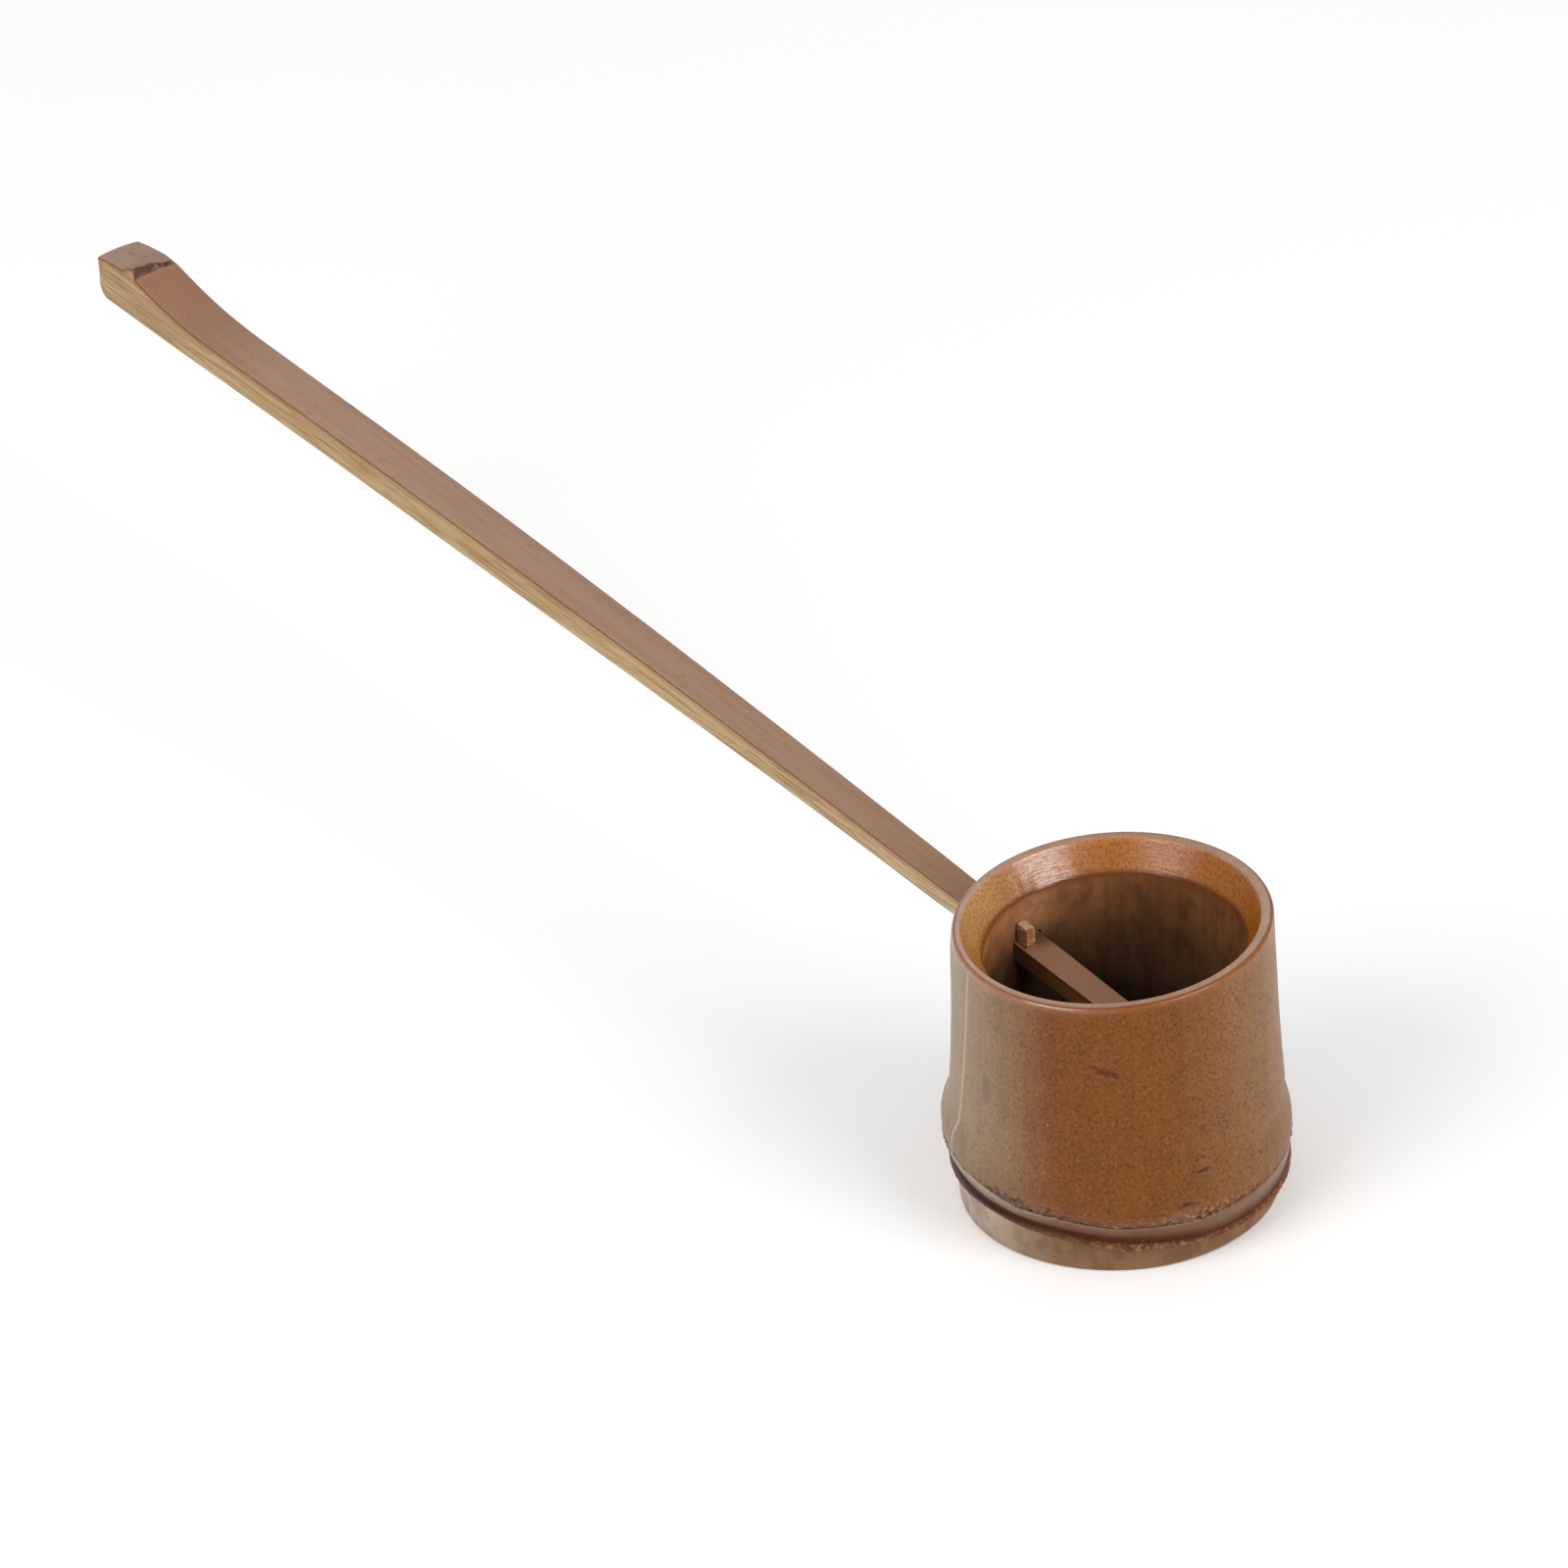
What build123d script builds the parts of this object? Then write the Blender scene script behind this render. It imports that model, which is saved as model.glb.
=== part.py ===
from build123d import *
import os
from math import cos, radians, sin, sqrt, tan

os.makedirs("parts", exist_ok=True)

# A water dipper made from two pieces of bamboo and a peg. The cup is a short length of culm that stands on
# the stub below its node, and the culm's own diaphragm is its floor. The handle is a split of culm with the
# skin side up. It goes through the cup's near wall, leans down into a shallow pocket in the far wall, and is
# held by a square peg driven down through it just inside the near wall.
# Millimetres. The origin is the middle of the foot, +Z is up the cup's axis, and the handle reaches to -X.

# Driving dimensions
overall_length = 240.0  # from the handle's tip to the far side of the cup
cup_height = 40.0
node_diameter = 45.0  # the widest place of the cup
mouth_diameter = 41.5  # outside, just under the lip
foot_diameter = 42.5  # outside of the foot ring, where the sheath ridge overhangs it
bore_diameter = 33.8  # the raw hollow of the culm, just under the mouth's bevel
handle_slope = 7.8  # degrees, along the straight run through the cup
handle_height = 27.3  # top of the handle on the cup's axis
neck_width = 4.5  # handle where it leaves the cup
neck_thickness = 2.76
grip_width = 7.0  # handle along its outer half
mouth_tilt = 2.8  # degrees; the mouth was sawn out of square, higher on the +Y side
quarter_turn = 90.0
overrun = 2.0  # how far cutting shapes pass a surface

# Cup: outer form, from the foot up
foot_edge_cut = 0.4  # how much of each side a softened edge takes
foot_draw_in = 0.3  # the foot ring narrows this much towards the floor, on the radius
ridge_foot_height = 3.5  # where the overhanging sheath ridge begins
ridge_crest_height = 4.1
ridge_overhang = 0.75  # crest beyond the foot ring, on the radius
ridge_crest_cut = 0.3
groove_height = 4.75
groove_depth = 0.45  # below the ridge's crest, on the radius
band_height = 5.2  # smooth band between the groove and the leaf scar
scar_height = 7.3
scar_step = 0.22  # the skin stands this far proud of the band
scar_inset = 0.16  # skin at the scar, inside the node's widest radius
node_height = 10.6

# Cup: mouth and hollow
saw_allowance = 3.0  # culm left above the mouth before it is sawn
lip_width = 1.5
lip_outer_cut = 0.6
lip_inner_cut = 0.35
bevel_drop = 4.1  # height of the cut bevel inside the mouth
hollow_floor_diameter = 32.6
floor_height = 13.0
floor_dish = 0.7
floor_corner_cut = 4.0
recess_diameter = 32.8  # hollow of the next joint, under the diaphragm
recess_depth = 4.6
recess_dish = 0.6
recess_corner_cut = 2.4

# Handle
tenon_end_width = 3.7
pocket_depth = 1.6  # how far the far end sits in the cup's far wall
bend_start = 25.0  # from the cup's axis; the handle is straight up to here
node_setback = 9.1  # node ridge's foot from the tip
node_rise = 23.27  # handle's top at the node, above its top at the bend's start
belly_rise = 19.8  # handle's underside at the tip, above its underside at the bend's start
node_width = 7.35
tip_width = 7.1
node_sweep = 20.0  # degrees; how steeply the skin climbs to the node
ridge_height = 1.35  # crest of the node ridge above its foot
ridge_face_run = 0.35  # from the ridge's foot to its crest, along the handle
ridge_lap = 1.0  # the skin line runs on this far under the ridge
ridge_length = 4.2  # from the foot to where the skin of the stub is even again
stub_height = 0.45  # skin there, above the ridge's foot
tip_height = 0.05  # skin at the tip, above the ridge's foot
tip_corner_round = 1.8
skin_crown_radius = 24.0  # the skin face keeps the roundness of the culm it was split from
stub_turn = 40.0  # degrees of the culm, wider than the split that is cut from it

# Peg
peg_depth = 1.5  # along the handle
peg_width = 1.9  # across the handle
peg_rise = 2.2  # above the handle's top
peg_drop = 1.3  # below the handle's underside
peg_wall_gap = 0.15
peg_offset = -0.55  # across, from the handle's middle
peg_point_chamfer = 0.3

# Fits
mortise_clearance = 0.1
peg_clearance = 0.04

# Outline shares: skin between node and lip (share of the height, share of the radius lost)
waist_shares = ((0.14, 0.60), (0.31, 0.36), (0.59, 0.11))
# handle's top from the bend's start to the node (share of the run, share of the rise)
back_shares = ((0.355, 0.368), (0.682, 0.654), (0.872, 0.798), (0.954, 0.888))
# handle's underside from the bend's start to the tip (share of the run, share of the rise)
belly_shares = ((0.338, 0.388), (0.649, 0.692), (0.857, 0.881))
# handle's width from the bend's start to the node (share of the run, share of the width gained)
width_shares = ((0.355, 0.48), (0.682, 0.85), (0.90, 1.0))
# the ridge's face is carried down into the handle by this share of its height
root_share = 0.5
# places along the curve of a softened corner, from one side to the other
soft_shares = (0.0, 0.5, 1.0)

node_radius = node_diameter / 2
mouth_radius = mouth_diameter / 2
foot_radius = foot_diameter / 2
bore_radius = bore_diameter / 2
floor_radius = hollow_floor_diameter / 2
recess_radius = recess_diameter / 2
tip_reach = overall_length - node_radius
node_reach = tip_reach - node_setback
slope = tan(radians(handle_slope))
bevel_foot_height = cup_height - bevel_drop
tenon_lean = (neck_thickness * sin(radians(handle_slope)), neck_thickness * cos(radians(handle_slope)))


def hollow_radius_at(height):
    """Inner wall of the cup, which draws in slightly from the bevel down to the floor."""
    share = (height - floor_height) / (bevel_foot_height - floor_height)
    return floor_radius + (bore_radius - floor_radius) * share


def handle_top_at(reach):
    """Height of the handle's skin face along its straight run; reach is measured from the cup's axis."""
    return handle_height + reach * slope


pocket_wall = hollow_radius_at(handle_top_at(-floor_radius))
tenon_reach = -(pocket_wall + pocket_depth)


def toward(place, target, distance):
    """The point at a distance from one place in the direction of another."""
    across, up = target[0] - place[0], target[1] - place[1]
    length = sqrt(across**2 + up**2)
    return (place[0] + across * distance / length, place[1] + up * distance / length)


def softened(before, corner, after, cut):
    """Points that ease an outline round a corner; the easing takes the cut off each side."""
    first, last = toward(corner, before, cut), toward(corner, after, cut)
    return [
        tuple((1 - t) ** 2 * first[k] + 2 * t * (1 - t) * corner[k] + t**2 * last[k] for k in (0, 1))
        for t in soft_shares
    ]


def under_points():
    """Underside and foot of the culm piece: the next joint's hollow, the ring it stands on, and the ridge."""
    middle = (0, recess_depth + recess_dish)
    corner = (recess_radius, recess_depth)
    ring_inside, ring_outside = (recess_radius, 0), (foot_radius - foot_draw_in, 0)
    neck = (foot_radius, ridge_foot_height)
    crest = (foot_radius + ridge_overhang, ridge_crest_height)
    groove = (crest[0] - groove_depth, groove_height)
    return [
        middle,
        *softened(middle, corner, ring_inside, recess_corner_cut),
        ring_inside,
        *softened(ring_inside, ring_outside, neck, foot_edge_cut),
        neck,
        *softened(neck, crest, groove, ridge_crest_cut),
        groove,
    ]


def side_lines():
    """Outer skin from the groove up: the smooth band, the step at the leaf scar, the swelling and the waist."""
    band_radius = node_radius - scar_inset - scar_step
    scar = (node_radius - scar_inset, scar_height + scar_step)
    node = (node_radius, node_height)
    run = cup_height - node_height
    waist = [
        (mouth_radius + (node_radius - mouth_radius) * wide, node_height + run * height)
        for height, wide in waist_shares
    ]
    mouth = (mouth_radius, cup_height)
    straight = Line(waist[-1], toward(mouth, waist[-1], -saw_allowance))
    step = Polyline(under_points()[-1], (band_radius, band_height), (band_radius, scar_height), scar)
    swell = TangentArc(node, scar, tangent=(0, -1))
    return [step, swell, Spline(node, *waist, tangents=((0, 1), straight % 0)), straight]


def hollow_points():
    """Inside of the cup, from the top of the uncut culm down to the middle of the floor."""
    skin = side_lines()[-1] @ 1
    wall = (hollow_radius_at(skin.Y), skin.Y)
    corner = (floor_radius, floor_height)
    middle = (0, floor_height - floor_dish)
    return [skin, wall, *softened(wall, corner, middle, floor_corner_cut), middle]


def mouth_cutter():
    """What saw and knife take off: all above the lip, the lip's two edges, and the bevel inside the mouth."""
    outside, inside = (mouth_radius, 0), (mouth_radius - lip_width, 0)
    bevel_foot = (bore_radius, -bevel_drop)
    outer_edge = softened(inside, outside, (mouth_radius, -cup_height), lip_outer_cut)
    inner_edge = softened(bevel_foot, inside, outside, lip_inner_cut)
    past_wall = toward(outer_edge[-1], outer_edge[-2], -overrun)
    past_bevel = toward(bevel_foot, inside, -overrun)
    above = 2 * saw_allowance
    return [
        (0, past_bevel[1]),
        past_bevel,
        *inner_edge,
        *outer_edge,
        past_wall,
        (past_wall[0], above),
        (0, above),
        (0, past_bevel[1]),
    ]


def near(vertices, across, up):
    """The corner of an outline that lies nearest the given place."""
    return min(vertices, key=lambda v: (v.X - across) ** 2 + (v.Y - up) ** 2)


def handle_bar(start, end, width, margin):
    """A straight bar along the handle's run through the cup, larger than the handle by margin all round."""
    length = (end - start) / cos(radians(handle_slope))
    bar = Box(length, width + 2 * margin, neck_thickness + 2 * margin)
    middle = (start + end) / 2
    lean, drop = tenon_lean
    return Pos(-middle - lean / 2, 0, handle_top_at(middle) - drop / 2) * Rot(0, handle_slope, 0) * bar


def make_cup():
    """Culm section, its mouth sawn on a slant, with a through mortise for the handle and a blind pocket."""
    under, hollow = under_points(), hollow_points()
    section = make_face([Polyline(*under), *side_lines(), Polyline(*hollow), Line(hollow[-1], under[0])])
    body = revolve(Plane.XZ * section, Axis.Z)
    cutter = revolve(Plane.XZ * make_face(Polyline(*mouth_cutter())), Axis.Z)
    mouth = Pos(0, 0, cup_height) * Rot(mouth_tilt, 0, quarter_turn) * cutter
    mortise = handle_bar(bore_radius - overrun, node_radius + overrun, neck_width, mortise_clearance)
    pocket_end = tenon_reach - mortise_clearance
    pocket = handle_bar(pocket_end, overrun - floor_radius, tenon_end_width, mortise_clearance)
    return body - mouth - mortise - pocket


def heel_points():
    """Top and bottom corner of the handle's end in the pocket, cut square to the handle."""
    top = (-tenon_reach, handle_top_at(tenon_reach))
    return top, (top[0] - tenon_lean[0], top[1] - tenon_lean[1])


def back_line():
    """The handle's skin line, from its end in the pocket to the foot of the node ridge."""
    bend = (-bend_start, handle_top_at(bend_start))
    run = node_reach - bend_start
    middle = [(bend[0] - run * along, bend[1] + node_rise * up) for along, up in back_shares]
    node = (-node_reach, bend[1] + node_rise)
    leave = (-1, slope)
    arrive = (-cos(radians(node_sweep)), sin(radians(node_sweep)))
    under_ridge = (node[0] + ridge_lap * arrive[0], node[1] + ridge_lap * arrive[1])
    straight = Line(heel_points()[0], bend)
    bow = Spline(bend, *middle, node, tangents=(leave, arrive))
    return straight, bow, Line(node, under_ridge)


def belly_points():
    """Underside of the handle from the bend's start to the tip."""
    start = (-bend_start - tenon_lean[0], handle_top_at(bend_start) - tenon_lean[1])
    run = tip_reach + start[0]
    middle = [(start[0] - run * along, start[1] + belly_rise * up) for along, up in belly_shares]
    return [start, *middle, (-tip_reach, start[1] + belly_rise)]


def belly_outline():
    """The handle from its side, true along the underside and at both ends, and standing clear of its skin."""
    heel_top, heel_foot = heel_points()
    belly = belly_points()
    above = handle_top_at(bend_start) + node_rise + skin_crown_radius
    lead = (heel_foot[0] - belly[0][0], heel_foot[1] - belly[0][1])
    under = Spline(*reversed(belly), tangents=((1, -slope / 2), lead))
    rest = Polyline(belly[0], heel_foot, heel_top, (heel_top[0], above), (-tip_reach, above), belly[-1])
    outline = make_face([under, rest])
    return fillet(near(outline.vertices(), *belly[-1]), tip_corner_round)


def skin_section():
    """Section of a body under the skin face: its top is part of the round culm, its sides stand clear."""
    half = grip_width
    edge = skin_crown_radius - sqrt(skin_crown_radius**2 - half**2)
    top = ThreePointArc((-half, -edge), (0, 0), (half, -edge))
    below = -skin_crown_radius
    rest = Polyline((half, -edge), (half, below), (-half, below), (-half, -edge))
    return make_face([top, rest])


def skin_run():
    """Body under the handle's skin face, swept along the skin line to the node."""
    lines = back_line()
    path = Plane.XZ * Wire(Curve() + [Edge(line.wrapped) for line in lines])
    start = path @ 0
    section = Plane(start, x_dir=(0, -1, 0), z_dir=path % 0) * skin_section()
    return sweep(section, path)


def stub_body():
    """The node ridge and the stub beyond it, turned about the middle of the handle's own culm."""
    foot = handle_top_at(bend_start) + node_rise
    middle = foot - skin_crown_radius
    rooted = (-node_reach + ridge_face_run * root_share, foot - ridge_height * root_share)
    crest = (-node_reach - ridge_face_run, foot + ridge_height)
    even = (-node_reach - ridge_length, foot + stub_height)
    tip = (-tip_reach - overrun, foot + tip_height)
    face = Line(rooted, crest)
    fall = Spline(crest, even, tip, tangents=((-1, -1), (-1, 0)))
    rest = Polyline(tip, (tip[0], middle), (rooted[0], middle), rooted)
    outline = Plane.XZ * make_face([face, fall, rest])
    axis = Axis((0, 0, middle), (1, 0, 0))
    return revolve(outline, axis, stub_turn).rotate(axis, -stub_turn / 2)


def plan_outline():
    """The handle from above: it widens from its tenon to the grip, swells at the node and ends square."""
    gain = grip_width - neck_width
    run = node_reach - bend_start
    sides = [(-bend_start - run * along, (neck_width + gain * wide) / 2) for along, wide in width_shares]
    neck = (-bend_start, neck_width / 2)
    node = (-node_reach, node_width / 2)
    heel = (-tenon_reach, tenon_end_width / 2)
    tip = (-tip_reach, tip_width / 2)
    left = Spline(heel, neck, *sides, node, tip)
    right = mirror(left, Plane.XZ)
    return make_face([left, Line(left @ 1, right @ 1), right, Line(left @ 0, right @ 0)])


def make_handle():
    """Split bamboo with its skin side up, its hole for the peg, and the node ridge near the tip."""
    side = extrude(Plane.XZ * belly_outline(), node_radius, both=True)
    plan = extrude(plan_outline(), 2 * cup_height)
    skin = skin_run() + stub_body()
    return (side & plan & skin) - peg_box(peg_clearance, cup_height)


def peg_box(margin, height):
    """Upright square bar at the peg's place, larger than the peg by margin on every side."""
    reach = peg_reach()
    bar = Box(peg_depth + 2 * margin, peg_width + 2 * margin, height)
    return Pos(-reach, peg_offset, handle_top_at(reach)) * bar


def peg_reach():
    """Distance of the peg's middle from the cup's axis: it stands against the inside of the near wall."""
    wall = hollow_radius_at(handle_top_at(bore_radius))
    side = peg_width / 2 - peg_offset
    return sqrt(wall**2 - side**2) - peg_wall_gap - peg_depth / 2


def make_peg():
    """Square bamboo peg, upright, with a bevelled lower end."""
    reach = peg_reach()
    top = handle_top_at(reach) + peg_rise
    bottom = handle_top_at(reach) - neck_thickness / cos(radians(handle_slope)) - peg_drop
    bar = Pos(-reach, peg_offset, (top + bottom) / 2) * Box(peg_depth, peg_width, top - bottom)
    lower = bar.faces().sort_by(Axis.Z)[0].edges()
    return chamfer(lower, peg_point_chamfer)


def write(name, shape):
    """One named file for each piece."""
    solid = shape.solids()[0]
    solid.label = name
    export_step(solid, f"parts/{name}.step")
    return solid


cup = write("cup", make_cup())
handle = write("handle", make_handle())
peg = write("peg", make_peg())
print("volumes", round(cup.volume), round(handle.volume), round(peg.volume, 2))
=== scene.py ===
from math import cos, pi, radians, sin, tan

import bmesh
import bpy
import numpy as np
from mathutils import Matrix, Vector


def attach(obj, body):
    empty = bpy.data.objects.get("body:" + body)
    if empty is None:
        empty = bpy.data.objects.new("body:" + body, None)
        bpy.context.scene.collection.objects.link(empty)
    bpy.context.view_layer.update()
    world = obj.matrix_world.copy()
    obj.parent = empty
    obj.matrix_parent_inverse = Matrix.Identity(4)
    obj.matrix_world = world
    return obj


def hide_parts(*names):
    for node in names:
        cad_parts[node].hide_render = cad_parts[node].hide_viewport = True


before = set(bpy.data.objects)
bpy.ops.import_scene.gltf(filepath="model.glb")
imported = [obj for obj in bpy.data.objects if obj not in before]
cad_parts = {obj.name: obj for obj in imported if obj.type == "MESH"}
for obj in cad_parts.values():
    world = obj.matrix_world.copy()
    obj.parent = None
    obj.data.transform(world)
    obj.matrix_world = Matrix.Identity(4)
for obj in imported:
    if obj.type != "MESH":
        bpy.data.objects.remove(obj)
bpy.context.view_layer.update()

# Cup. A short length of smoked bamboo culm, sawn off below and above one node, so the culm's own diaphragm
# is its floor and the stub under the node is its foot. The mouth is pared to a bevel inside, the near wall is
# cut through for the handle, and the far wall has a shallow pocket for the handle's end.
mm = 0.001
steps_round = 720
turn = np.arange(steps_round) * 2 * pi / steps_round  # from +X, towards +Y
part_turn = turn / (2 * pi)
mouth_height, mouth_slant = 40.0, radians(2.8)
mouth_radius, lip_width, bevel_drop, bore_radius = 20.75, 1.5, 4.1, 16.9
floor_radius, floor_height, recess_radius, recess_depth = 16.3, 13.0, 16.4, 4.6
recess_bend, recess_crown, recess_soft, recess_round = 13.9, 0.5, 0.12, 2.2
foot_flat, foot_wide, ridge_inside = 20.25, 20.76, 21.15
bore_top, floor_round, floor_flat, floor_sag = 35.4, 17.0, 12.3, 0.7
lip_round, lip_soft, widest = 0.6, 0.2, 22.48


def around(*places):
    """A size that changes round the culm, from (degrees, size) pairs, as one soft closed line."""
    degrees, sizes = zip(*places)
    line = np.interp(np.degrees(turn), degrees, sizes, period=360)
    waves = np.fft.rfft(line)
    return np.fft.irfft(waves * np.exp(-((np.arange(len(waves)) * radians(3.0)) ** 2) / 2), len(turn))


def patches(u, v, cells, seed):
    """Smooth patches of uneven height, from -1 to 1. They close round the piece: u counts its turns."""
    u, v = np.broadcast_arrays(np.asarray(u, float), np.asarray(v, float))
    low = int(np.floor(v.min()))
    grid = np.random.default_rng(seed).uniform(-1, 1, (int(np.floor(v.max())) - low + 2, cells))
    across = (u % 1.0) * cells
    column, line = np.floor(across).astype(int) % cells, np.floor(v).astype(int) - low
    a, b = across - np.floor(across), v - np.floor(v)
    a, b = a * a * (3 - 2 * a), b * b * (3 - 2 * b)
    after = (column + 1) % cells
    under = grid[line, column] * (1 - a) + grid[line, after] * a
    over = grid[line + 1, column] * (1 - a) + grid[line + 1, after] * a
    return under * (1 - b) + over * b


def soft_step(value, start, end):
    """0 before start, 1 after end, and smooth between them."""
    t = np.clip((value - start) / (end - start), 0, 1)
    return t * t * (3 - 2 * t)


# The node isn't quite level: these lines rise and fall round the culm.
ridge_line = around(
    (-125, 5.6), (-111, 5.65), (-88, 5.7), (-77, 5.4), (-67, 5.1), (-58, 4.95), (-49, 4.45), (-40, 3.8),
    (-36, 3.5), (-31, 3.7), (-22, 3.5), (-10, 3.1), (5, 3.1), (20, 3.2), (38, 3.5), (52, 4.5), (66, 5.3),
    (90, 5.1), (130, 4.7), (170, 4.8), (200, 5.1), (220, 5.4))
groove_line = around(
    (-125, 7.6), (-113, 7.8), (-104, 7.35), (-94, 6.75), (-82, 6.45), (-62, 6.0), (-53, 5.6), (-44, 5.2),
    (-36, 5.0), (-27, 4.6), (-18, 4.35), (-8, 4.0), (1, 4.05), (15, 4.2), (27, 4.45), (38, 4.7), (52, 5.4),
    (66, 6.1), (90, 6.0), (130, 5.7), (170, 5.9), (200, 6.4), (220, 7.0))
scar_line = around(
    (-125, 9.6), (-110, 9.8), (-97, 9.45), (-88, 9.15), (-81, 8.6), (-74, 8.25), (-65, 8.3), (-55, 8.15),
    (-48, 7.75), (-41, 7.45), (-30, 7.25), (-20, 7.1), (-12, 6.9), (-2, 7.1), (8, 7.25), (17, 7.5),
    (27, 7.8), (40, 7.8), (55, 8.0), (66, 8.3), (90, 8.2), (130, 8.1), (170, 8.5), (200, 8.9), (220, 9.3))
scar_tall = around(
    (-125, 0.5), (-112, 0.9), (-104, 0.45), (-94, 0.5), (-88, 1.0), (-72, 1.25), (-60, 0.8), (-50, 0.45),
    (-36, 0.5), (-27, 0.6), (-18, 1.1), (-6, 1.3), (4, 0.8), (18, 0.6), (34, 0.5), (70, 0.9), (120, 0.6),
    (170, 1.1), (205, 0.7))
scar_rough = around(
    (-125, 0.5), (-112, 1.0), (-104, 0.35), (-96, 0.3), (-88, 0.9), (-72, 1.0), (-60, 0.7), (-52, 0.3),
    (-44, 0.6), (-34, 0.5), (-26, 0.35), (-18, 1.0), (-4, 1.0), (8, 0.6), (24, 0.3), (45, 0.3), (70, 0.9),
    (120, 0.4), (170, 1.0), (205, 0.5))
ridge_radius = around(
    (-127, 21.8), (-105, 21.85), (-60, 21.95), (-36, 22.0), (0, 22.1), (35, 22.2), (53, 22.15), (90, 22.1),
    (200, 21.9))
groove_radius = around((-125, 21.65), (-60, 21.55), (0, 21.65), (53, 21.85), (120, 21.6), (180, 21.55))

skin_heights = (7.4, 9.0, 10.6, 12.6, 14.7, 19.7, 23.8, 27.9, 34.0, 41.5)
skin_radii = (22.3, 22.42, 22.47, 22.3, 21.85, 21.38, 21.12, 20.94, 20.84, 20.73)


def skin_radius(height):
    """Radius of the culm's skin: it swells over the node and draws in to the mouth."""
    return np.interp(height, skin_heights, skin_radii)


scar_line = scar_line + 0.10 * patches(part_turn, 0.5, 130, 1) + 0.05 * patches(part_turn, 0.5, 300, 8)
uneven = 0.45 * patches(part_turn, 0.5, 160, 2) + 0.3 * patches(part_turn, 0.5, 340, 12)
scar_tall = 1.15 * scar_tall * (1 + uneven * scar_rough)
ridge_line = ridge_line + 0.04 * patches(part_turn, 0.5, 220, 9)

rows = []  # each row: radius and height round the culm, and its ring, its share of the way over the section


def run(line, ring, *legs):
    """Rows along legs from a line, each leg with its end, rows, end's ring and a corner if it is bent."""
    for end, count, end_ring, *corner in legs:
        for t in np.arange(count) / count:
            if corner:
                at = [line[k] * (1 - t) ** 2 + 2 * corner[0][k] * t * (1 - t) + end[k] * t**2 for k in (0, 1)]
            else:
                at = [line[k] + (end[k] - line[k]) * t for k in (0, 1)]
            rows.append((*at, ring + (end_ring - ring) * t))
        line, ring = end, end_ring


worn_foot = around((-60, 0.45), (-25, 0.5), (-8, 0.8), (10, 1.1), (30, 0.9), (55, 0.6), (180, 0.5))
scar_top = scar_line + scar_tall
scar_radius = skin_radius(8.0)
band_radius = scar_radius - 0.22
run((3.0, recess_depth + recess_crown), 0.0,
    ((recess_bend, recess_depth + recess_soft), 4, 0.03),
    ((recess_radius, recess_round), 4, 0.05, (recess_radius, recess_depth)),
    ((recess_radius, 0.25), 2, 0.07),
    ((recess_radius + 0.3, 0.0), 2, 0.08, (recess_radius, 0.0)),
    ((foot_flat - worn_foot / 3, 0.0), 4, 0.11),
    ((foot_wide, worn_foot), 4, 0.13, (foot_wide - 0.04 - worn_foot / 6, 0.0)),
    ((ridge_inside, ridge_line - 0.05), 7, 0.20),
    ((ridge_radius, ridge_line + 0.45), 5, 0.24, (ridge_radius + 0.08, ridge_line + 0.02)),
    ((groove_radius, groove_line), 7, 0.28, (groove_radius + 0.1, groove_line - 0.25)),
    ((band_radius - 0.08, groove_line + 0.45 * (scar_line - groove_line)), 6, 0.31,
     (groove_radius + 0.02, groove_line + 0.5)),
    ((band_radius + 0.05, scar_line - 0.3), 5, 0.35),
    ((band_radius - 0.12, scar_line), 3, 0.36, (band_radius + 0.08, scar_line - 0.05)),
    ((scar_radius, scar_top), 11, 0.42))
level, shift = 16.0, scar_line - skin_heights[0]
for t in np.linspace(0, 1, 8)[:-1]:
    height = scar_top + (level - scar_top) * t
    rows.append((skin_radius(height - shift * (1 - soft_step(t, 0, 1))), height, 0.42 + 0.06 * t))
pocket_low, pocket_high = 22.15, 25.14
hole_low_outside, hole_high_outside = 27.27, 30.26
hole_low_inside, hole_high_inside = 26.73, 29.72
skin_rows = (level, 18.0, 20.0, 22.0, 24.0, 25.7, hole_low_outside, 28.76, hole_high_outside, 31.6, 33.0,
             34.5, 36.0, 37.4, 38.5, 39.1)
first_skin_row = len(rows)
for height in skin_rows:
    rows.append((skin_radius(height), height, 0.48 + 0.14 * (height - level) / 24))
lip_foot, lip_inside = mouth_height - lip_round, mouth_radius - lip_width
lip_outside = skin_radius(mouth_height)
bevel_foot = mouth_height - bevel_drop + 0.1 + 0.28 * patches(part_turn, 0.5, 34, 10)
bevel_foot = bevel_foot + 0.07 * patches(part_turn, 0.5, 120, 11)
run((skin_radius(lip_foot), lip_foot), 0.62,
    ((lip_outside - lip_round, mouth_height), 6, 0.66, (lip_outside, mouth_height)),
    ((lip_inside + 0.25, mouth_height), 4, 0.69),
    ((lip_inside - 0.1, mouth_height - lip_soft), 3, 0.70, (lip_inside + 0.02, mouth_height)),
    ((bore_radius + 0.03, bevel_foot), 12, 0.80),
    ((bore_radius, bore_top), 2, 0.81, (bore_radius - 0.02, bevel_foot - 0.1)))
first_bore_row = len(rows)
bore_rows = (bore_top, 34.0, 32.5, 31.0, hole_high_inside, 28.2, hole_low_inside, pocket_high, 23.65,
             pocket_low, 20.4, 18.6)
for height in bore_rows:
    radius = bore_radius - (bore_radius - floor_radius) * (bore_top - height) / (bore_top - floor_height)
    rows.append((radius, height, 0.81 + 0.12 * (bore_top - height) / (bore_top - floor_round)))
run((floor_radius + 0.12, floor_round), 0.93,
    ((floor_flat, floor_height - 0.1), 6, 0.96, (floor_radius, floor_height)),
    ((1.0, floor_height - floor_sag + 0.02), 4, 1.0))

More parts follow.
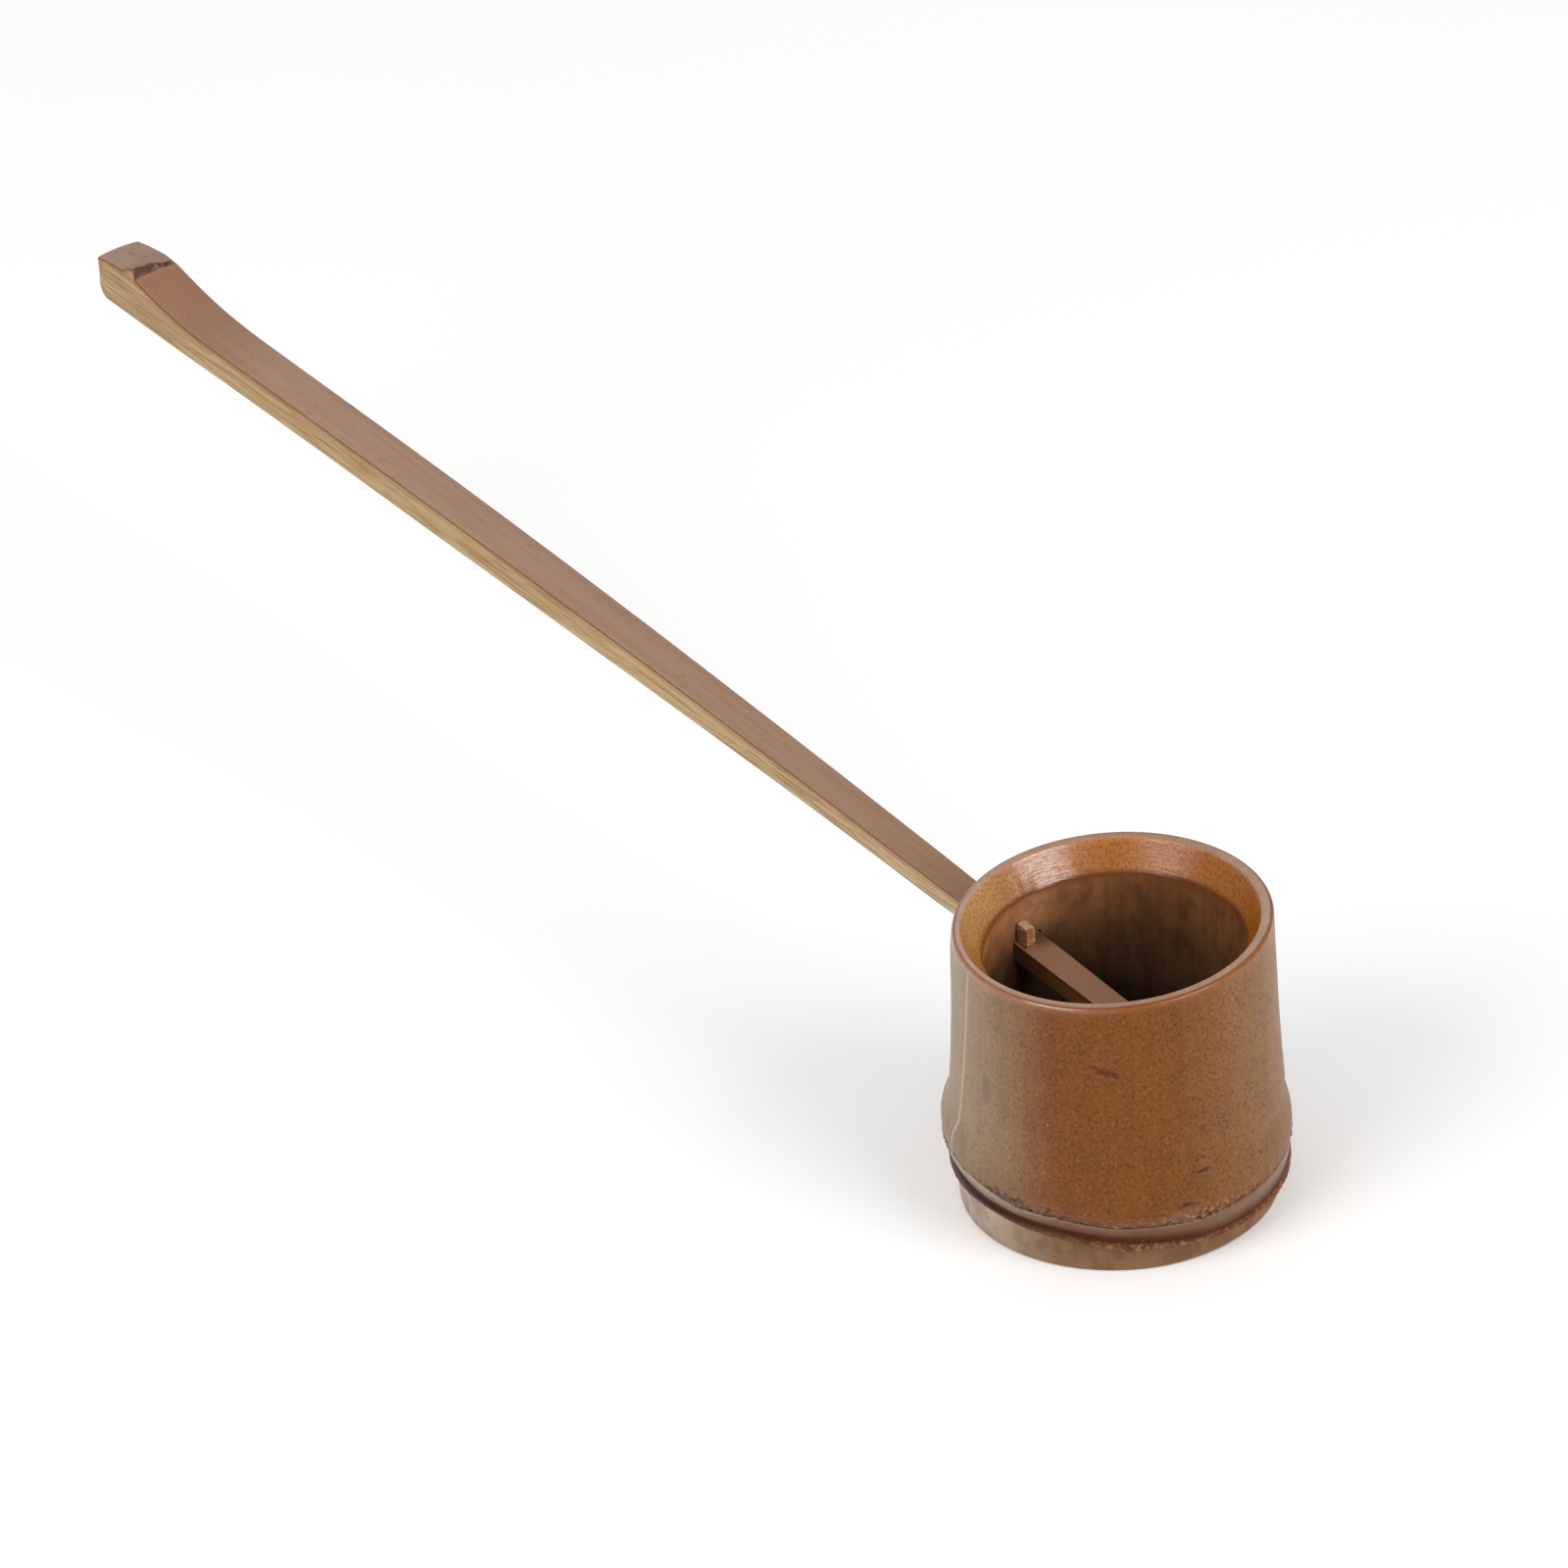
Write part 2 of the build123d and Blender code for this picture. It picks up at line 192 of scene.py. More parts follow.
radius, height = (np.array([row[k] + 0 * turn for row in rows]) for k in (0, 1))
ring = np.array([row[2] for row in rows])
angle = np.tile(turn, (len(rows), 1))


def towards(degrees, width):
    """A soft bump round the culm: 1 in one direction and falling away over so many degrees."""
    return np.exp(-(((np.degrees(turn) - degrees + 180) % 360 - 180) / width) ** 2)


# The culm isn't quite round, and its node and scar are rough.
near_side, left_side, right_side = towards(180, 32), towards(233, 50), towards(53, 50)
row_ring = ring[:, None]
bore_shift = soft_step(row_ring, 0.705, 0.795) * (1 - soft_step(row_ring, 0.93, 0.96))
bevel_shift = bore_shift * (1 - soft_step(row_ring, 0.812, 0.84))
outside = soft_step(row_ring, 0.12, 0.13) * (1 - soft_step(row_ring, 0.655, 0.69))
left_fit = np.interp(height, (0, 3, 7, 10, 13, 14.5, 16, 19, 25, 32, 37, 40),
                     (-0.05, -0.05, 0.1, 0.18, 0.26, 0.02, -0.2, -0.18, -0.16, -0.23, -0.25, -0.5))
right_fit = np.interp(height, (0, 3, 4.5, 9, 10.2, 11.7, 13.2, 14.7, 16.2, 19, 22, 30, 40),
                      (-0.1, -0.1, 0, 0, -0.05, -0.2, -0.4, -0.3, -0.1, -0.05, 0.02, 0.1, 0.05))
radius += outside * (left_side * left_fit + right_side * right_fit)
radius += bevel_shift * (0.28 * right_side - 0.5 * left_side)
radius += (bore_shift - bevel_shift) * (0.28 * right_side + 0.65 * near_side)
ridge_part = soft_step(row_ring, 0.20, 0.215) * (1 - soft_step(row_ring, 0.255, 0.275))
scar_part = soft_step(row_ring, 0.358, 0.368) * (1 - soft_step(row_ring, 0.415, 0.432))
coarse = patches(part_turn, height / 0.8, 170, 3) * 0.5 + patches(part_turn, height / 0.42, 330, 4) * 0.5
fine = patches(part_turn, height / 0.3, 360, 5)
ridge_rough = around(
    (-127, 0.25), (-80, 0.3), (-66, 0.6), (-50, 1), (-30, 1.1), (25, 1), (42, 0.4), (70, 0.5), (120, 0.9),
    (200, 0.6))
crust = 1.1 * scar_part * scar_rough + 0.7 * ridge_part * ridge_rough
ridge_relief = ridge_part * ridge_rough * (0.12 * coarse + 0.09 * fine)
pits = np.clip(coarse * 0.9 + fine * 0.7, -1, 1)
scar_relief = scar_part * (0.1 + scar_rough) * (0.38 * pits + 0.10)
waver = 0.03 * patches(part_turn, height / 9.0, 14, 6) * outside
radius = radius + ridge_relief + scar_relief + waver
most = widest / np.maximum(np.abs(np.cos(turn)), np.abs(np.sin(turn)))
radius = np.minimum(radius, np.minimum(most, widest + 0.2))
relief = 0.7 * ridge_part * ridge_rough * (coarse + fine) + 1.7 * scar_part * scar_rough * pits
height = height + 0.04 * (row_ring < 0.05) * patches(part_turn, radius / 2.0, 60, 7)

# The mouth was sawn on a slant, so the upper rows lean with it.
slant = soft_step(height, 15.0, 33.0) * (row_ring > 0.4)
height = height + radius * np.sin(angle) * tan(mouth_slant) * slant

# Columns from an opening's middle to its edge, and from there to where they are evenly spaced again.
half_steps, near = 14, 16
hole_half, pocket_half = 2.35, 1.95


def square_up(rows_used, middle, half_width):
    """Brings the columns beside an opening in the wall to its straight edges."""
    for past, weight in ((0, 1.0), (1, 0.5)):
        for row in range(rows_used[0] - past, rows_used[1] + past + 1):
            if past and rows_used[0] <= row <= rows_used[1]:
                continue
            edge = np.arcsin(half_width / radius[row, middle])
            for step in range(-half_steps - near, half_steps + near + 1):
                inside_edge = min(abs(step) / half_steps, 1) * edge
                rest = (abs(step) - half_steps) / near * (turn[1] * (half_steps + near) - edge)
                new = inside_edge if abs(step) <= half_steps else edge + rest
                column = (middle + step) % steps_round
                old = turn[1] * abs(step)
                angle[row, column] = turn[middle] + np.sign(step) * (old + (new - old) * weight)


hole_outside = [first_skin_row + skin_rows.index(edge) for edge in (hole_low_outside, hole_high_outside)]
hole_inside = [first_bore_row + bore_rows.index(edge) for edge in (hole_high_inside, hole_low_inside)]
pocket_rows = [first_bore_row + bore_rows.index(edge) for edge in (pocket_high, pocket_low)]
near_column, far_column = steps_round // 2, 0
openings = ((hole_outside, near_column), (hole_inside, near_column), (pocket_rows, far_column))
for (rows_used, middle), half in zip(openings, (hole_half, hole_half, pocket_half)):
    square_up(rows_used, middle, half)

points = np.stack([radius * np.cos(angle), radius * np.sin(angle), height], -1).reshape(-1, 3)


def vertex(row, column):
    return row * steps_round + column % steps_round


def frame_of(low, high, middle):
    """Points round an opening: along its foot, up one side, back along its top and down the other."""
    up = range(low, high, 1 if low < high else -1)
    down = range(high, low, -1 if low < high else 1)
    across = range(-half_steps, half_steps)
    return ([vertex(low, middle + a) for a in across] + [vertex(r, middle + half_steps) for r in up]
            + [vertex(high, middle - a) for a in across] + [vertex(r, middle - half_steps) for r in down])


def next_of(ring):
    return ring[1:] + ring[:1]


def faces_round(count, loop, opened=lambda row, column: False):
    """Faces between rows of points that close in a loop, left out where the piece is open."""
    return [tuple((row + r) * loop + (column + c) % loop for r, c in ((0, 0), (0, 1), (1, 1), (1, 0)))
            for row in range(count - 1) for column in range(loop) if not opened(row, column)]


def in_opening(row, column):
    return any(low <= row < high and (column - middle + half_steps) % steps_round < 2 * half_steps
               for (low, high), middle in openings)


count = len(rows)
faces = faces_round(count, steps_round, in_opening)
outer_frame = frame_of(*hole_outside, near_column)
inner_frame = frame_of(*hole_inside[::-1], near_column)
faces += zip(outer_frame, next_of(outer_frame), next_of(inner_frame), inner_frame)
pocket_frame = frame_of(*pocket_rows[::-1], far_column)
pocket_reach, pocket_middle, pocket_slope = 18.3, 23.4, 0.23
pocket_end = points[pocket_frame].copy()
pocket_end[:, 0] = pocket_reach
pocket_end[:, 2] -= pocket_slope
end_middle = len(points) + len(pocket_end)
end_frame = list(range(len(points), end_middle))
faces += zip(next_of(pocket_frame), pocket_frame, end_frame, next_of(end_frame))
faces += [(b, a, end_middle) for a, b in zip(end_frame, next_of(end_frame))]
for column in range(steps_round):
    faces.append((vertex(0, column + 1), vertex(0, column), end_middle + 1))
    faces.append((vertex(count - 1, column), vertex(count - 1, column + 1), end_middle + 2))
recess_middle, floor_middle = recess_depth + recess_crown + 0.05, floor_height - floor_sag
middles = [[pocket_reach, 0, pocket_middle], [0, 0, recess_middle], [0, 0, floor_middle]]
points = np.vstack([points, pocket_end, middles])
ring_at = np.concatenate([np.repeat(ring, steps_round), np.full(len(pocket_end) + 1, 0.9), [0.0, 1.0]])
smooth = np.zeros(len(pocket_end) + len(middles))


def make_piece(name, points, faces, values):
    """A mesh object from points in millimetres, with values kept at each point for its material."""
    mesh = bpy.data.meshes.new(name)
    mesh.from_pydata((np.asarray(points) * mm).tolist(), [], faces)
    for label, data in values.items():
        mesh.attributes.new(label, "FLOAT", "POINT").data.foreach_set("value", np.asarray(data, np.float32))
    mesh.validate()
    net = bmesh.new()
    net.from_mesh(mesh)
    bmesh.ops.recalc_face_normals(net, faces=net.faces)
    net.to_mesh(mesh)
    net.free()
    mesh.shade_smooth()
    mesh.set_sharp_from_angle(angle=radians(38))
    piece = bpy.data.objects.new(name, mesh)
    bpy.context.scene.collection.objects.link(piece)
    return piece


cup = make_piece("cup_culm", points, faces,
                 {"ring": ring_at, "relief": np.append(relief, smooth), "crust": np.append(crust, smooth)})


def tone(red, green, blue):
    """A colour as seen on a screen, 0 to 255, as the light that it gives back."""
    seen = (red / 255, green / 255, blue / 255)
    return tuple(c / 12.92 if c <= 0.04045 else ((c + 0.055) / 1.055) ** 2.4 for c in seen) + (1.0,)


# From here on nodes are added to the tree that is being built, the one that the name "tree" stands for.
def fill(socket, value):
    """Sets a socket to a value, to a colour given as a tone, or links another node's output to it."""
    if isinstance(value, bpy.types.NodeSocket):
        tree.links.new(value, socket)
    else:
        socket.default_value = tone(*value) if socket.type == "RGBA" else value


def add(kind, inputs, **settings):
    """A node with its settings and inputs."""
    made = tree.nodes.new("ShaderNode" + kind)
    for key, value in settings.items():
        setattr(made, key, value)
    for key, value in inputs.items():
        fill(made.inputs[key], value)
    return made


def maths(what, a, b=0.0, c=0.0):
    return add("Math", {0: a, 1: b, 2: c}, operation=what).outputs[0]


def times(*values):
    """The product of two or more values."""
    product = values[0]
    for value in values[1:]:
        product = maths("MULTIPLY", product, value)
    return product


def scaled(vector, by):
    return add("VectorMath", {0: vector, 1: by}, operation="MULTIPLY").outputs[0]


def spread(value, low, high, to_low=0.0, to_high=1.0):
    """Carries a value from one span to another, and holds it at the ends."""
    inputs = {"Value": value, "From Min": low, "From Max": high, "To Min": to_low, "To Max": to_high}
    return add("MapRange", inputs, interpolation_type="SMOOTHSTEP").outputs[0]


def band(value, start, full, fading, gone):
    """1 where a value is between full and fading, 0 before start and after gone."""
    return times(spread(value, start, full), spread(value, fading, gone, 1.0, 0.0))


def scale_of(value, *stops):
    """Tones along a value, from (place, tone) stops; a bare number is a grey."""
    made = add("ValToRGB", {0: value})
    bar = made.color_ramp.elements
    for k, (place, colour) in enumerate(stops):
        stop = bar[k] if k < 2 else bar.new(place)
        stop.position = place
        stop.color = tone(*colour) if isinstance(colour, tuple) else (colour, colour, colour, 1.0)
    return made.outputs[0]


def painted(under, paint, *shares, how="MIX"):
    """A colour with a paint laid over it, as strongly as the product of the shares says."""
    return add("Mix", {0: times(*shares), 6: under, 7: paint}, data_type="RGBA", blend_type=how).outputs[2]


def noise(where, scale, detail, roughness=0.5):
    inputs = {"Vector": where, "Scale": scale, "Detail": detail, "Roughness": roughness}
    return add("TexNoise", inputs).outputs[0]


def bumped(lift, strength, distance):
    """The way a surface faces where small heights are laid on it."""
    return add("Bump", {"Strength": strength, "Distance": distance, "Height": lift}).outputs[0]


def value_of(label):
    """A value kept at the points of the mesh."""
    return add("Attribute", {}, attribute_name=label).outputs["Fac"]


def place_here():
    """The place on the piece in millimetres, and its three parts."""
    spot = scaled(add("TexCoord", {}).outputs["Object"], (1000, 1000, 1000))
    return spot, add("SeparateXYZ", {0: spot}).outputs


def new_group(name, outputs, **inputs):
    """An empty shader group. An input is a number, or a vector where it has no value."""
    group = bpy.data.node_groups.new(name, "ShaderNodeTree")
    for label, value in inputs.items():
        kind = "NodeSocketVector" if value is None else "NodeSocketFloat"
        socket = group.interface.new_socket(label, in_out="INPUT", socket_type=kind)
        if value is not None:
            socket.default_value = value
    for label in outputs:
        group.interface.new_socket(label, in_out="OUTPUT", socket_type="NodeSocketFloat")
    return group, group.nodes.new("NodeGroupInput").outputs, group.nodes.new("NodeGroupOutput").inputs


def use_group(group, **inputs):
    return add("Group", inputs, node_tree=group).outputs


def new_material(name):
    """A material with its tree and its shader's inputs."""
    material = bpy.data.materials.new(name)
    material.use_nodes = True
    return material, material.node_tree, material.node_tree.nodes["Principled BSDF"].inputs


# Bamboo's fibre bundles: dots where it is cut across, lines along the grain. Place is in millimetres.
tree, given, out = new_group("Fibre bundles", ("Bundle", "Streak"), Place=None, Spacing=0.45, Dot=0.3)
flat = scaled(given["Place"], maths("DIVIDE", 1.0, given["Spacing"]))
cell = add("TexVoronoi", {"Vector": flat, "Scale": 1.0, "Randomness": 0.7}, voronoi_dimensions="2D")
fill(out["Bundle"], maths("SUBTRACT", 1.0, spread(cell.outputs["Distance"], 0.12, given["Dot"])))
fill(out["Streak"], noise(flat, 0.6, 3.0, 0.65))
bundles = tree

# Small dark specks and pinholes that smoke and age leave in the skin.
tree, given, out = new_group("Specks", ("Speck",), Place=None, Spacing=0.9, Size=0.16)
near_by = scaled(given["Place"], maths("DIVIDE", 1.0, given["Spacing"]))
cell = add("TexVoronoi", {"Vector": near_by, "Scale": 1.0, "Randomness": 1.0})
chance = add("SeparateColor", {0: cell.outputs["Color"]}).outputs[0]
speck_size = times(maths("POWER", chance, 1.6), given["Size"])
speck_edge = maths("SUBTRACT", cell.outputs["Distance"], speck_size)
fill(out["Speck"], maths("SUBTRACT", 1.0, spread(speck_edge, -0.02, 0.06)))
specks = tree

# A ragged oval stain.
tree, given, out = new_group("Stain", ("Stain",), Place=None, At=None, Size=None, Slant=0.0, Ragged=0.5)
off = add("VectorMath", {0: given["Place"], 1: given["At"]}, operation="SUBTRACT").outputs[0]
turned = add("VectorRotate", {"Vector": off, "Angle": given["Slant"]}, rotation_type="Z_AXIS").outputs[0]
unit = add("VectorMath", {0: turned, 1: given["Size"]}, operation="DIVIDE").outputs[0]
oval = add("VectorMath", {0: unit}, operation="LENGTH").outputs["Value"]
wild = maths("SUBTRACT", noise(given["Place"], 1.7, 2.0), 0.5)
ragged_edge = maths("ADD", oval, times(wild, times(given["Ragged"], 3.0)))
fill(out["Stain"], spread(ragged_edge, 1.15, 0.7))
stain = tree

culm, tree, shader = new_material("smoked_culm")
spot, axes = place_here()
along, pit, crust_here = value_of("ring"), value_of("relief"), value_of("crust")
to_right = maths("ADD", times(axes["X"], 0.60), times(axes["Y"], 0.80))

# Tones on the left, in the middle and on the right, from the foot up over the node, the scar, the skin and
# the lip, and down over the bevel and the wall to the floor. The left and right columns are paler and greyer
# than the middle partly as a painted sheen of reflected light; the pale row at 0.203 under the left ridge is
# a painted highlight, the darkest rows in the groove are painted shade, the pale upper wall inside on the
# left (row 0.815) is painted light, and the wall darkens towards the floor as painted shade.
underside = ((0.00, (120, 88, 58)), (0.07, (150, 115, 78)), (0.115, (150, 112, 76)))
ring_tones = (
    (0.135, (174, 156, 136), (130, 97, 66), (144, 99, 64)),
    (0.195, (182, 164, 146), (128, 93, 63), (140, 94, 62)),
    (0.203, (222, 202, 182), (112, 74, 48), (124, 80, 54)),
    (0.212, (70, 44, 36), (84, 48, 28), (118, 70, 44)),
    (0.235, (108, 74, 62), (110, 66, 38), (142, 86, 56)),
    (0.255, (66, 40, 33), (92, 52, 30), (124, 76, 52)),
    (0.280, (44, 27, 22), (66, 36, 23), (80, 51, 39)),
    (0.298, (60, 41, 32), (88, 47, 28), (116, 81, 60)),
    (0.318, (120, 98, 84), (102, 60, 38), (132, 102, 78)),
    (0.345, (146, 126, 110), (110, 78, 56), (134, 104, 80)),
    (0.356, (176, 148, 128), (122, 92, 68), (138, 102, 74)),
    (0.366, (82, 56, 42), (76, 42, 24), (112, 66, 38)),
    (0.412, (116, 88, 66), (104, 60, 28), (136, 88, 48)),
    (0.425, (132, 104, 74), (118, 66, 16), (138, 94, 48)),
    (0.46, (148, 124, 96), (118, 67, 14), (142, 98, 52)),
    (0.616, (152, 128, 102), (122, 68, 14), (148, 104, 58)),
    (0.624, (172, 122, 84), (138, 76, 20), (158, 98, 42)),
    (0.643, (166, 104, 66), (140, 76, 18), (154, 88, 28)),
    (0.651, (116, 66, 38), (98, 52, 20), (118, 66, 24)),
    (0.658, (186, 148, 124), (168, 124, 98), (176, 148, 130)),
    (0.695, (186, 146, 118), (174, 128, 96), (176, 142, 116)),
    (0.705, (208, 148, 60), (178, 104, 10), (162, 94, 14)),
    (0.78, (202, 142, 54), (174, 100, 8), (158, 90, 12)),
    (0.80, (150, 86, 36), (118, 66, 24), (104, 58, 22)),
    (0.815, (216, 144, 86), (150, 99, 59), (118, 74, 37)),
    (0.86, (98, 64, 42), (100, 66, 40), (106, 67, 36)),
    (0.93, (62, 42, 30), (54, 36, 26), (90, 60, 40)),
    (1.0, (70, 48, 32), (70, 48, 32), (70, 48, 32)),
)
left_tones, middle_tones, right_tones = (
    scale_of(along, *underside, *((stop[0], stop[side]) for stop in ring_tones)) for side in (1, 2, 3))
colour = painted(left_tones, middle_tones, spread(to_right, -20.0, -7.5))
colour = painted(colour, right_tones, spread(to_right, 3.0, 22.0))

# Stains and streaks: on the whole cup, painted light and painted shade high on the wall inside, the worn
# foot, and smoke.
skin_part = scale_of(along, (0.41, 0.0), (0.43, 1.0), (0.61, 1.0), (0.63, 0.0))
bevel_part = scale_of(along, (0.69, 0.0), (0.705, 1.0), (0.79, 1.0), (0.805, 0.0))
wall_part = scale_of(along, (0.80, 0.0), (0.815, 1.0), (0.95, 1.0), (1.0, 0.5))
blotch = spread(noise(spot, 0.25, 4.0, 0.55), 0.35, 0.7, 0.0, maths("ADD", 0.22, times(wall_part, 0.25)))
colour = painted(colour, (196, 176, 170), blotch, how="MULTIPLY")
upright = use_group(bundles, Place=scaled(spot, (1, 1, 0.02)), Spacing=0.9)
streaky = spread(upright["Streak"], 0.4, 0.7, 0.0, maths("ADD", 0.2, times(wall_part, 0.12)))
colour = painted(colour, (190, 180, 172), streaky, how="MULTIPLY")
lit = times(band(to_right, -16.5, -10.5, -10.5, -3.5), wall_part, spread(axes["Z"], 28.0, 33.5, 0.0, 0.8))
colour = painted(colour, (212, 152, 106), lit)
dim = times(band(to_right, -1.5, 3.0, 9.5, 14.0), wall_part, spread(axes["Z"], 20.0, 29.0))
colour = painted(colour, (223, 221, 206), dim, how="MULTIPLY")
foot_part = scale_of(along, (0.11, 0.0), (0.13, 1.0), (0.20, 1.0), (0.21, 0.0))
worn_patch = spread(noise(scaled(spot, (0.5, 0.5, 0.35)), 0.8, 3.0), 0.42, 0.62, 0.0, 0.4)
colour = painted(colour, (186, 160, 140), foot_part, worn_patch, how="MULTIPLY")
smoke = spread(noise(scaled(spot, (1, 1, 0.5)), 0.55, 4.0, 0.65), 0.42, 0.66, 0.0, 0.4)
colour = painted(colour, (150, 132, 120), wall_part, smoke, how="MULTIPLY")

# Cut bamboo shows its fibre bundles as dots, on the bevel, the lip and the sawn foot.
cut_face = scale_of(along,
    (0.05, 0.8), (0.11, 0.8), (0.125, 0.0), (0.645, 0.0), (0.66, 0.25), (0.695, 0.3), (0.706, 1.0),
    (0.795, 1.0), (0.81, 0.0))
dots = times(use_group(bundles, Place=scaled(spot, (1, 1, 0.0)), Spacing=0.46, Dot=0.44)["Bundle"], cut_face)
colour = painted(colour, (108, 54, 8), dots, 0.6)

# Specks in the skin: very many small dark ones, crowded here and there, and a few pale ones.
dust = noise(scaled(spot, (1, 1, 0.85)), 2.5, 2.0, 0.7)
dark_dust = times(spread(dust, 0.54, 0.62, 0.0, 0.6), spread(to_right, -19.0, -6.0, 0.45, 1.0))
colour = painted(colour, (72, 40, 16), dark_dust, skin_part)
colour = painted(colour, (190, 150, 106), spread(dust, 0.40, 0.33, 0.0, 0.16), skin_part)
crowd = times(spread(noise(spot, 0.12, 2.0), 0.3, 0.6, 0.10, 0.30), spread(to_right, -19.0, -3.0, 0.45, 1.0))
squat = scaled(spot, (1, 1, 0.8))
dark, pale = (times(use_group(specks, Place=squat, Spacing=gap, Size=size)["Speck"], skin_part)
              for gap, size in ((0.55, crowd), (1.9, 0.05)))
colour = painted(colour, (62, 32, 12), dark, 0.62)
colour = painted(colour, (186, 140, 88), pale, 0.5)

# The scar's crust: dark crumbs and paler ones, and dark pits.
crumb = noise(spot, 1.5, 3.0, 0.7)
dark_crumb = times(crust_here, spread(crumb, 0.48, 0.38, 0.0, 0.75))
colour = painted(colour, (58, 33, 20), dark_crumb, spread(to_right, -4.0, 8.0, 1.0, 0.6))
pale_crumb = spread(crumb, 0.50, 0.60, 0.0, spread(to_right, -9.0, 0.0, 0.3, 0.8))
colour = painted(colour, (170, 112, 66), crust_here, pale_crumb)
colour = painted(colour, (62, 38, 24), spread(pit, -0.3, -1.0, 0.0, 0.3))

# Old marks: a squiggle, a few dashes, a grey streak and a pale line rubbed down the left side. Each mark has
# its bearing in degrees, height, half length, half height, tilt, raggedness, strength and tone.
unrolled_radius = 21.3
bearing = times(maths("ARCTAN2", axes["Y"], axes["X"]), unrolled_radius)
unrolled = add("CombineXYZ", {0: bearing, 1: axes["Z"], 2: 0.0}).outputs[0]
for degrees, height_at, long, tall, tilt, ragged, strength, dye in (
        (-42.9, 30.0, 1.1, 0.6, -0.3, 0.5, 1.0, (90, 42, 4)),
        (-39.4, 29.6, 0.5, 0.6, 0.5, 0.4, 1.0, (90, 42, 4)),
        (-46.5, 30.8, 0.9, 0.3, -0.3, 0.4, 0.95, (94, 46, 6)),
        (-10.0, 13.95, 1.0, 0.22, 0.15, 0.3, 0.95, (62, 30, 12)),
        (-12.0, 15.6, 0.35, 0.14, 0.2, 0.3, 0.8, (66, 32, 12)),
        (-17.2, 9.9, 0.75, 0.3, 0.1, 0.4, 0.95, (66, 32, 14)),
        (-19.3, 9.6, 0.35, 0.3, 0.0, 0.5, 0.7, (80, 42, 18)),
        (-42.9, 10.25, 0.2, 0.5, 0.0, 0.5, 0.7, (72, 38, 18)),
        (-9.5, 15.8, 0.25, 0.3, 0.0, 0.5, 0.6, (84, 44, 18)),
        (-90.9, 23.4, 0.85, 2.4, 0.09, 0.08, 0.85, (122, 94, 82)),
        (-50.6, 32.8, 0.5, 0.45, 0.0, 0.9, 0.4, (84, 46, 18))):
    patch = use_group(stain, Place=unrolled, At=(radians(degrees) * unrolled_radius, height_at, 0),
                      Size=(long, tall, 1), Slant=-tilt, Ragged=ragged)["Stain"]
    colour = painted(colour, dye, patch, strength)
beside = maths("SUBTRACT", bearing, maths("MULTIPLY_ADD", axes["Z"], 0.1006, -41.84))
thin = spread(maths("ABSOLUTE", beside), 0.12, 0.42, 1.0, 0.0)
outer = times(spread(beside, 0.0, -1.5), spread(upright["Streak"], 0.42, 0.62), 0.35)
rubbed_line = times(maths("MAXIMUM", thin, outer), skin_part, spread(to_right, -10.0, -15.0))
colour = painted(colour, (204, 190, 172), rubbed_line, 0.42)
fill(shader["Base Color"], colour)

# The skin and the bevel shine, the crust glistens a little, and the cut faces are dull.
grain = noise(scaled(spot, (3.0, 3.0, 0.4)), 1.0, 4.0, 0.6)
rubbed = scale_of(along,
    (0.0, 0.8), (0.12, 0.5), (0.20, 0.45), (0.25, 0.45), (0.30, 0.35), (0.36, 0.3), (0.42, 0.38),
    (0.60, 0.38), (0.64, 0.25), (0.70, 0.3), (0.80, 0.35), (0.82, 0.65), (1.0, 0.8))
fill(shader["Roughness"], maths("ADD", rubbed, times(maths("SUBTRACT", grain, 0.5), 0.2)))
knife_marks = noise(scaled(spot, (0.35, 0.35, 8.0)), 1.0, 2.0)
lift = maths("MULTIPLY_ADD", times(knife_marks, bevel_part), 1.3, times(grain, 0.25))
lift = maths("MULTIPLY_ADD", times(crumb, crust_here), 3.5, lift)
fill(shader["Coat Normal"], bumped(lift, 0.5, 0.00012))
lift = maths("MULTIPLY_ADD", dots, -0.05, maths("MULTIPLY_ADD", dark, -0.3, lift))
fill(shader["Normal"], bumped(lift, 0.5, 0.00012))
shader["Specular IOR Level"].default_value = 0.18  # for what can't read the scale below
fill(shader["Specular IOR Level"], scale_of(along, (0.19, 0.22), (0.21, 0.08), (0.31, 0.08), (0.33, 0.2),
                                            (0.365, 0.1), (0.41, 0.12), (0.44, 0.22)))
varnish = scale_of(along,
    (0.30, 0.0), (0.32, 0.1), (0.355, 0.3), (0.37, 0.15), (0.415, 0.2), (0.44, 0.0), (0.61, 0.0),
    (0.64, 0.8), (0.66, 0.7), (0.70, 1.0), (0.79, 1.0), (0.81, 0.0))
wet = times(spread(to_right, -6.0, -2.0), spread(to_right, 7.0, 11.0, 0.6, 0.1))
wet = times(crust_here, wet, spread(along, 0.33, 0.35, 0.25, 1.0))
fill(shader["Coat Weight"], maths("MAXIMUM", wet, times(varnish, spread(to_right, -6.0, 3.0, 1.0, 0.32))))
fill(shader["Coat Roughness"], 0.16)
fill(shader["Coat IOR"], 1.95)
cup.data.materials.append(culm)
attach(cup, "root")
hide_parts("cup")

# Handle. One split of bamboo with its skin side up, planed along both sides and underneath, with the node
# left on near the tip. It is straight and slim where it goes through the cup's wall and ends in the pocket.
slope = tan(radians(7.8))
end_reach, bend_reach, node_reach, tip_reach = -18.2, 25.0, 208.4, 217.5
axis_height, neck_thick, crown_radius = 27.3, 2.786, 24.0
node_rise, belly_rise = 23.27, 19.8
end_lean, tip_round, lower_edge, patch_span = 0.375, 1.8, 0.12, 40
peg_low, peg_high = 15.34, 16.92
peg_left, peg_right = -1.86, 0.1


